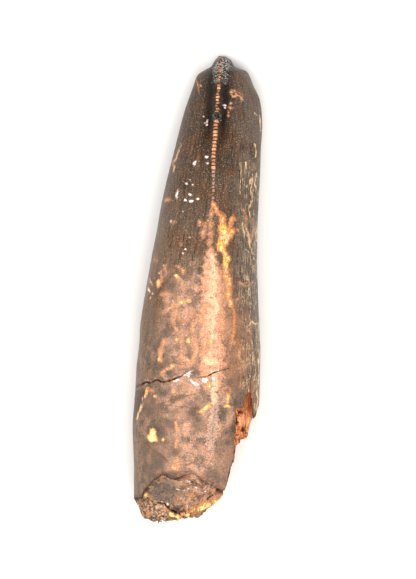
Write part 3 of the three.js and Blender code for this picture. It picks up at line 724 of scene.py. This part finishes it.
# Streaks of the same cream core, partly own colour and partly painted highlight
cream_and_highlight_streak = lines([
    (0.2, [(1.44, 3.3), (1.7, 2.3), (1.78, 1.5), (1.6, 0.9), (1.7, 0.1), (1.5, -0.5), (1.85, -1.2),
           (1.95, -2.2), (1.5, -3.3), (1.55, -4.2), (1.4, -5.3)]),
    (0.3, [(1.6, -8.3), (1.8, -9.2), (1.7, -10.2), (1.65, -11.2)])])
smear = lines([(0.12, [(0.6, -6.5), (0.8, -7.1), (1.3, -7.45), (1.85, -7.25)])])
rust = on_break * ramp(x, STEP_X - 0.5, STEP_X + 0.05) * ramp(y, -18, -16)
rust = most(rust * (1 - ramp(x, 5.5, 5.65)), rust_strip)
# Painted shade: the outermost band of the broken face, darkened where the edge of the surface overhangs it
painted_edge_shade = on_break * (1 - ramp(depth_in, 0.02, 0.1)) * (1 - rust)
surface_end = np.zeros_like(x)
# Painted shade: the outer surface darkened within 0.7 mm above the edge of the break
surface_end[:outer_count] = ramp(outer_y - edge_y, 0.7, 0.05) * (edge_x < STEP_X)
keel = mesial_range * mesial_across * (1 - 0.4 * ramp(y, 20, 20.7))
strip_edge = np.interp(y, [-13.5, -12.2, -11.4, -10.3], [-6.2, -5.8, -5.45, -5.1])
strip = ramp(strip_edge - x, 0, 0.12) * band(y, -14.5, -12.8, -10.3, -9.8) * unbroken
left_share = -offset / (ridge_line(y) - left_edge(y))
# Painted shade: the crown left of the ridge and the left edges of crown and root turn darker and warmer, as
# the light falls off on the left side
crown_left_shade = ramp(left_share, 0, 0.35) * ramp(y, 3, 12) * (1 + 0.6 * ramp(left_share, 0.7, 0.95))
root_left_shade = ramp(left_share, 0.5, 0.95) * (1 - ramp(y, 2, 8))
beside_ridge = ramp(y, 12, 17) * np.exp(-(((np.abs(offset) - 0.75) / 0.5) ** 2))
bead_share = random.uniform(0.45, 1, DENTICLES)[number]

keep("root", ramp(y + 0.7 * broad, -1, -8))
keep("pale", pale)
keep("cream_and_highlight_core", most(cream_and_highlight_core * facing_up, cream_and_highlight_streak, np.minimum(2.2 * smear, 1)))
keep("pale_and_highlight_band", pale_and_highlight_band * facing_up * ramp(y, -11, -7.5))
keep("iron", most(iron, iron_end))
keep("stain", stain)
keep("heart", spots([(2.6, 5.95, 0.4, 0.4), (2.25, 4.3, 0.3, 0.5), (2.8, 2.9, 0.2, 0.4)], 0.5))
keep("yellow", most(yellow, yellow_end))
# white: pale crumbs and crack lips, with the painted highlight dots of the enamel and the glints of the
# broken end
keep("white", most(white, glint_dots, 0.45 * crack_lips, glints))
# left: painted shade on the left side of crown and root
keep("left", most(0.6 * crown_left_shade, root_left_shade) * unbroken)
keep("strip", strip * ramp(np.cos(angle), -0.6, 0.2))
keep("amber", facing_up * band(x, 2.3, 3.1, 4.9, 5.9) * band(y, -12, -8.5, -3, 1) * (0.75 + 0.3 * quick))
keep("grey", most(spots(grey_blots, 0.8), spots([(-3.3, -20.2, 1.3, 1.1)], 1, on_break)))
keep("dark", most(crack, cracks_end))
keep("hairline", fine_cracks)
keep("veins", most(veins, 1.2 * sliver))
keep("shade", facing_up * beside_ridge + 0.8 * keel * (1 - mesial_tooth))
keep("chipped", most(chipped, lump))
keep("crackle", band(x, 3.6, 5.0, 9, 10) * band(y, -13, -9, 9, 15) * unbroken)
keep("broken", on_break)
keep("rust", rust)
keep("facet", facet)
keep("rust_dark", rust_dark)
keep("rust_pale", rust_pale)
# Painted shade under the overhanging edge, along the surface above it, and in the listed shadow lines
keep("painted_edge_shade", most(painted_edge_shade, 0.55 * surface_end, lines(end_shadow, on_break)))
keep("sparkle", lines([(0.45, [(1.8, -11), (1.6, -13), (1.3, -15.4)])]))
keep("bead", keel * mesial_tooth * bead_share * (1 - lump))
keep("bead_top", ramp(y, 11.3, 12.3) * facing_up)
run_place = np.stack([6 * np.sin(angle), arc, 6 * np.cos(angle)], axis=-1).reshape(-1, 3)
run_place = np.concatenate([run_place, run_place[:1] * 0, run_place[-1:]]).astype(np.float32)
mesh.attributes.new("run", "FLOAT_VECTOR", "POINT").data.foreach_set("vector", run_place.ravel())

# Finish
finish = bpy.data.materials.new("fossil_finish")
finish.use_nodes = True
tree = finish.node_tree
shader = tree.nodes["Principled BSDF"]


def node(kind, inputs, tree=tree, **settings):
    """Adds a shader node, sets its properties, and fills its inputs: a socket is linked, and anything else is
    set as the input's own value."""
    made = tree.nodes.new("ShaderNode" + kind)
    for name, value in settings.items():
        setattr(made, name, value)
    for key, value in inputs.items():
        if isinstance(value, bpy.types.NodeSocket):
            tree.links.new(value, made.inputs[key])
        else:
            made.inputs[key].default_value = value
    return made


def maths(operation, a, b=0.0, c=0.0):
    """One arithmetic step on numbers."""
    return node("Math", {0: a, 1: b, 2: c}, operation=operation).outputs[0]


def times(a, b):
    """The product of two numbers."""
    return maths("MULTIPLY", a, b)


def vector(operation, a, b):
    """One arithmetic step on places, axis by axis."""
    return node("VectorMath", {0: a, 1: b}, operation=operation).outputs[0]


def blend(a, b, share, way="MIX"):
    """Colour a where share is 0. Where it is 1, colour b, or the product of both in the way "MULTIPLY"."""
    return node("Mix", {0: share, 6: a, 7: b}, data_type="RGBA", blend_type=way).outputs[2]


def coats(colour, layers):
    """Further colours over the first, each with the mask that it shows through and its strength there."""
    for over, mask, strength in layers:
        colour = blend(colour, over, times(mask, strength))
    return colour


def remap(value, start, end, low=0.0, high=1.0):
    """Carries start to low and end to high along a smooth curve, and holds them beyond."""
    settings = {0: value, 1: start, 2: end, 3: low, 4: high}
    return node("MapRange", settings, interpolation_type="SMOOTHSTEP").outputs[0]


def paint(red, green, blue, share):
    """The colour that the finish needs to show this screen colour, from 0 to 255, where the light on it is
    one over the share."""
    return tuple(share * (np.array([red, green, blue]) / 255) ** 2.2) + (1,)


def stored(name):
    """The number kept on the vertices under this name."""
    return node("Attribute", {}, attribute_name=name).outputs["Fac"]


object_mm = vector("MULTIPLY", node("TexCoord", {}).outputs["Object"], (1000, 1000, 1000))
run_mm = node("Attribute", {}, attribute_name="run").outputs["Vector"]


def grain(where, scale, detail=4.0, roughness=0.6, stretch=(1, 1, 1)):
    """Noise from 0 to 1 at so many cycles per millimetre, drawn out on an axis where its stretch is small."""
    settings = {"Scale": scale, "Detail": detail, "Roughness": roughness}
    return node("TexNoise", {"Vector": vector("MULTIPLY", where, stretch), **settings}).outputs["Fac"]


# A group that adds noise to a mask, cuts the sum off at a level, and leaves empty what the mask leaves empty
ragged = bpy.data.node_groups.new("ragged_mask", "ShaderNodeTree")
for name, start in (("Mask", 0), ("Grain", 0.5), ("Raggedness", 0.8), ("Softness", 0.12), ("Level", 0.5)):
    ragged.interface.new_socket(name, in_out="INPUT", socket_type="NodeSocketFloat").default_value = start
ragged.interface.new_socket("Mask", in_out="OUTPUT", socket_type="NodeSocketFloat")
given = ragged.nodes.new("NodeGroupInput").outputs
result = ragged.nodes.new("NodeGroupOutput")


def group_maths(operation, a, b, c=0.0, **settings):
    """One arithmetic step on numbers inside the group."""
    return node("Math", {0: a, 1: b, 2: c}, tree=ragged, operation=operation, **settings).outputs[0]


centred = group_maths("SUBTRACT", given["Grain"], 0.5)
torn_mask = group_maths("MULTIPLY_ADD", centred, given["Raggedness"], given["Mask"])
lower_level = group_maths("SUBTRACT", given["Level"], given["Softness"])
upper_level = group_maths("ADD", given["Level"], given["Softness"])
levels = {0: torn_mask, 1: lower_level, 2: upper_level}
cut = node("MapRange", levels, tree=ragged, interpolation_type="SMOOTHSTEP").outputs[0]
marked = group_maths("MULTIPLY", given["Mask"], 8.0, use_clamp=True)
ragged.links.new(group_maths("MULTIPLY", cut, marked), result.inputs["Mask"])


def torn(name, grain_value, raggedness=0.8, softness=0.12, level=0.5):
    """The mask stored under this name, cut off at a level, with its rim torn by noise."""
    made = node("Group", {})
    made.node_tree = ragged
    tree.links.new(stored(name), made.inputs["Mask"])
    tree.links.new(grain_value, made.inputs["Grain"])
    made.inputs["Raggedness"].default_value = raggedness
    made.inputs["Softness"].default_value = softness
    made.inputs["Level"].default_value = level
    return made.outputs["Mask"]


across_mm, along_mm = node("SeparateXYZ", {0: object_mm}).outputs[:2]
striae = grain(run_mm, 1, 5, 0.6, (2.6, 0.3, 2.6))
fine_striae = grain(run_mm, 1, 3, 0.65, (7, 0.8, 7))
mottle = grain(object_mm, 0.9, 4, 0.55)
blotches = grain(object_mm, 2, 3, 0.5)
patches = grain(object_mm, 0.33, 3, 0.5)
greys = grain(object_mm, 1.1, 3, 0.6)
speckle = grain(object_mm, 4.5, 3, 0.65)
dust = grain(object_mm, 9, 2, 0.6)
drift = node("TexNoise", {"Vector": object_mm, "Scale": 1.6}).outputs["Color"]
drift = vector("MULTIPLY", drift, (2.2, 2.2, 2.2))

# The colours of each part of the surface: enamel, root, pale root, chips, broken stone and rusty step
enamel = blend(paint(128, 106, 88, 0.72), paint(80, 66, 56, 0.67), remap(along_mm, -2, 19))
enamel = coats(enamel, [
    (paint(144, 108, 78, 0.7), times(remap(across_mm, -1, -4), remap(along_mm, 7, 1)), 0.5),
    (paint(130, 114, 102, 0.69), remap(across_mm, 2.8, 5), 0.85),
    (paint(114, 78, 56, 0.72), remap(patches, 0.48, 0.62), 0.55),
    (paint(54, 45, 39, 0.58), remap(striae, 0.5, 0.3), 0.7),
    (paint(142, 112, 88, 0.7), remap(striae, 0.54, 0.74), 0.7),
    (paint(48, 40, 35, 0.58), remap(fine_striae, 0.46, 0.3), 0.7),
    (paint(154, 122, 92, 0.7), remap(fine_striae, 0.54, 0.72), 0.7),
    (paint(176, 140, 108, 0.7), remap(speckle, 0.6, 0.72), 0.5),
    (paint(52, 44, 38, 0.58), remap(dust, 0.4, 0.3), 0.6),
    (paint(208, 182, 156, 0.8), remap(dust, 0.62, 0.68), 0.5)])
tan = blend(paint(192, 150, 127, 0.67), paint(222, 173, 146, 0.71), remap(mottle, 0.4, 0.6))
tan = coats(tan, [
    (paint(146, 122, 106, 0.62), remap(blotches, 0.47, 0.34), 0.4),
    (paint(238, 160, 118, 0.75), remap(blotches, 0.52, 0.66), 0.6),
    (paint(140, 112, 94, 0.64), remap(speckle, 0.44, 0.28), 0.5),
    (paint(248, 206, 172, 0.8), remap(speckle, 0.56, 0.7), 0.6),
    (paint(122, 96, 80, 0.64), remap(dust, 0.42, 0.3), 0.55)])
root_brown = blend(paint(119, 103, 90, 0.64), paint(166, 136, 114, 0.68), remap(mottle, 0.38, 0.62))
root_brown = coats(root_brown, [
    (paint(80, 72, 64, 0.58), remap(blotches, 0.46, 0.34), 0.45),
    (paint(180, 128, 96, 0.64), remap(blotches, 0.54, 0.68), 0.6),
    (paint(74, 66, 60, 0.6), remap(speckle, 0.44, 0.32), 0.6),
    (paint(200, 164, 134, 0.7), remap(speckle, 0.58, 0.7), 0.6)])
chips = blend(paint(34, 28, 26, 0.42), paint(116, 102, 94, 0.5), remap(speckle, 0.4, 0.6))
chips = coats(chips, [
    (paint(240, 230, 222, 0.9), times(remap(dust, 0.525, 0.59), remap(along_mm, 20.4, 21.8, 0.3, 0.95)), 1),
    (paint(18, 15, 14, 0.4), remap(blotches, 0.48, 0.4), 0.85)])
chunks = node("TexVoronoi", {"Vector": vector("ADD", object_mm, drift), "Scale": 1.5}).outputs["Color"]
chunk_tone = node("SeparateColor", {0: chunks}).outputs[0]
left_corner = times(remap(across_mm, -2.2, -3.4), remap(along_mm, -20.7, -21.2))
stone = blend(paint(140, 116, 102, 0.7), paint(184, 146, 120, 0.8), remap(mottle, 0.4, 0.62))
stone = coats(stone, [
    (paint(214, 160, 130, 0.98), times(remap(across_mm, -2.8, 0.8), remap(blotches, 0.34, 0.54)), 1),
    (paint(228, 180, 146, 0.9), remap(chunk_tone, 0.66, 0.7), 0.6),
    (paint(84, 64, 54, 0.66), remap(chunk_tone, 0.3, 0.26), 0.55),
    (paint(232, 186, 150, 0.98), times(left_corner, remap(speckle, 0.49, 0.58)), 0.8),
    (paint(56, 40, 34, 0.6), times(left_corner, remap(blotches, 0.44, 0.38)), 0.7),
    (paint(82, 64, 56, 0.64), remap(speckle, 0.45, 0.33), 0.65),
    (paint(240, 196, 164, 0.95), remap(speckle, 0.57, 0.7), 0.7)])
rusty = blend(paint(198, 110, 66, 0.92), paint(246, 156, 106, 1.04), remap(speckle, 0.42, 0.56))
# The smooth facet's rust: lighter partly as its own smoother rust and partly as painted light, so that it
# reads as a face catching the lamp
smooth_rust_and_lit_face = blend(paint(244, 150, 104, 1.04), paint(254, 172, 124, 1.04), remap(speckle, 0.4, 0.62))
rusty = coats(rusty, [
    (paint(116, 70, 44, 0.7), remap(blotches, 0.52, 0.42), 0.85),
    # painted light, in part: the smooth facet
    (smooth_rust_and_lit_face, stored("facet"), 1),
    (paint(186, 112, 68, 1.15), remap(along_mm, -12.2, -11.8), 0.85),
    (paint(255, 194, 142, 1.15), torn("rust_pale", speckle, 0.6, 0.15), 1),
    (paint(84, 50, 34, 0.65), torn("rust_dark", speckle, 0.8, 0.15), 1)])
bead_colour = blend(paint(196, 160, 144, 0.64), paint(222, 152, 114, 0.76), stored("bead_top"))
iron_colour = blend(paint(244, 158, 98, 0.82), paint(240, 180, 142, 0.85), remap(along_mm, 9, 13))
white_colour = blend(paint(255, 246, 228, 1.1), paint(236, 246, 252, 1.1), remap(along_mm, 2, 8))

# Shares that join more than one mask
net_place = vector("ADD", vector("MULTIPLY", run_mm, (3.2, 1.1, 3.2)), drift)
net = node("TexVoronoi", {"Vector": net_place, "Scale": 1.0}, feature="DISTANCE_TO_EDGE").outputs["Distance"]
network = times(remap(net, 0.1, 0.02), remap(greys, 0.46, 0.58))
gold = times(stored("crackle"), maths("MAXIMUM", network, remap(fine_striae, 0.6, 0.65, 0, 0.75)))
root_grey = times(remap(greys, 0.54, 0.7, 0, 0.25), stored("root"))
grey = maths("MAXIMUM", torn("grey", speckle, 1, 0.45, 0.45), root_grey)
heart = times(torn("iron", speckle, 1.6, 0.2, 0.75), torn("heart", speckle, 0.8, 0.3))
crumbs_share = torn("yellow", speckle, 0.7, 0.15, 0.3)
mineral = maths("MAXIMUM", torn("iron", speckle, 1, 0.2, 0.45), crumbs_share)
bare_stone = times(stored("broken"), maths("SUBTRACT", 1.0, mineral))

# From the enamel outwards: root, pale band with its painted crest highlight, chips, gold network, ridge,
# stains, break with its painted edge shade, crumbs with painted highlight dots, and cracks
colour = coats(enamel, [
    (root_brown, stored("root"), 1),
    (tan, torn("pale", mottle, 1.6, 0.5), 1),
    (paint(150, 122, 104, 0.62), times(remap(patches, 0.52, 0.42), stored("root")), 0.55),
    (paint(98, 88, 82, 0.58), grey, 0.56),
    (paint(202, 142, 104, 0.72), torn("amber", mottle, 1.8, 0.45), 0.5),
    (paint(96, 76, 56, 0.5), stored("strip"), 0.75),
    # painted highlight, in part: the pale crest band and its bright specks
    (paint(230, 154, 116, 0.84), torn("pale_and_highlight_band", blotches, 2.6, 0.35), 0.85),
    (paint(234, 176, 148, 0.86), torn("pale_and_highlight_band", speckle, 2.6, 0.4, 0.85), 0.5),
    (paint(255, 214, 186, 0.95), times(stored("pale_and_highlight_band"), remap(dust, 0.55, 0.66)), 0.4),
    (paint(176, 118, 90, 0.8), times(stored("pale_and_highlight_band"), remap(speckle, 0.44, 0.34)), 0.5),
    # painted highlight, in part: the cream core and its streaks
    (paint(250, 200, 160, 0.95), torn("cream_and_highlight_core", blotches, 2.2, 0.35, 0.46), 0.85),
    (paint(255, 216, 170, 0.92), torn("cream_and_highlight_core", speckle, 1.8, 0.25, 0.9), 1),
    (paint(240, 196, 172, 0.9), torn("sparkle", speckle, 2.6, 0.3), 0.5),
    (paint(26, 20, 18, 0.5), stored("shade"), 0.85),
    (chips, torn("chipped", blotches, 1.6, 0.3), 0.9),
    (paint(58, 48, 42, 0.5), times(stored("crackle"), remap(fine_striae, 0.5, 0.36)), 0.85),
    (paint(240, 204, 158, 0.85), gold, 0.8),
    (paint(252, 212, 164, 0.92), torn("veins", fine_striae, 0.9), 1),
    (bead_colour, torn("bead", speckle, 0.9, 0.2, 0.4), 1),
    (paint(255, 200, 150, 0.9), times(torn("bead", dust, 1.4, 0.15, 0.78), stored("bead_top")), 1),
    (paint(214, 152, 114, 0.7), torn("stain", speckle, 0.9, 0.25, 0.36), 0.6),
    (paint(236, 170, 128, 0.8), torn("stain", speckle, 1.4, 0.25, 0.68), 0.7),
    (paint(252, 208, 160, 0.88), torn("stain", dust, 2.4, 0.15, 1.25), 1),
    (paint(210, 144, 106, 0.68), torn("iron", speckle, 0.9, 0.18, 0.28), 0.8),
    (iron_colour, torn("iron", speckle, 1, 0.15), 0.9),
    (paint(255, 214, 126, 0.98), torn("iron", blotches, 1.8, 0.15, 1), 1),
    (paint(255, 228, 196, 0.95), torn("iron", dust, 2.2, 0.15, 1.1), 1),
    (paint(255, 216, 84, 0.96), heart, 1),
    (paint(240, 170, 108, 0.82), crumbs_share, 1),
    (paint(255, 234, 154, 1.05), torn("yellow", dust, 1, 0.15, 0.6), 1),
    (stone, bare_stone, 1),
    (paint(138, 120, 108, 0.7), times(grey, stored("broken")), 0.8),
    # painted shade along the edge of the break
    (paint(66, 42, 32, 0.6), torn("painted_edge_shade", speckle, 1.2, 0.4), 0.8),
    (rusty, stored("rust"), 1),
    # pale crumbs, with the painted highlight dots and glints
    (paint(214, 176, 156, 0.7), torn("white", speckle, 0.6, 0.15, 0.36), 1),
    (white_colour, torn("white", speckle, 0.6, 0.12, 0.52), 1),
    (paint(122, 84, 62, 0.62), torn("hairline", speckle, 1.2, 0.14), 0.6),
    (paint(96, 50, 34, 0.62), torn("dark", speckle, 0.7, 0.12, 0.36), 1),
    (paint(34, 18, 14, 0.5), torn("dark", speckle, 0.6, 0.08, 0.48), 1)])
# Painted shade: a darker, warmer left side where the light falls off
colour = blend(colour, (0.9, 0.84, 0.78, 1), stored("left"), "MULTIPLY")
colour = blend(colour, remap(dust, 0.25, 0.75, 0.72, 1.3), 1.0, "MULTIPLY")
tree.links.new(colour, shader.inputs["Base Color"])

# Sheen and fine relief
worn = maths("MAXIMUM", stored("broken"), stored("iron"))
roughness = maths("ADD", remap(striae, 0.3, 0.7, 0.34, 0.46), times(stored("root"), 0.08))
roughness = node("Mix", {0: worn, 2: roughness, 3: 0.8}).outputs[0]
tree.links.new(roughness, shader.inputs["Roughness"])
shader.inputs["Specular IOR Level"].default_value = 0.1
glittering = maths("MAXIMUM", stored("sparkle"), stored("cream_and_highlight_core"))
height = maths("ADD", times(fine_striae, 0.04), times(striae, 0.08))
height = maths("ADD", height, times(speckle, maths("ADD", times(worn, 0.2), 0.07)))
height = maths("ADD", height, times(dust, maths("ADD", times(glittering, 0.08), 0.02)))
bump = node("Bump", {"Height": height, "Distance": 0.001, "Strength": 1.0})
tree.links.new(bump.outputs[0], shader.inputs["Normal"])
mesh.materials.append(finish)
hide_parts("tooth")
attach(tooth, "root")
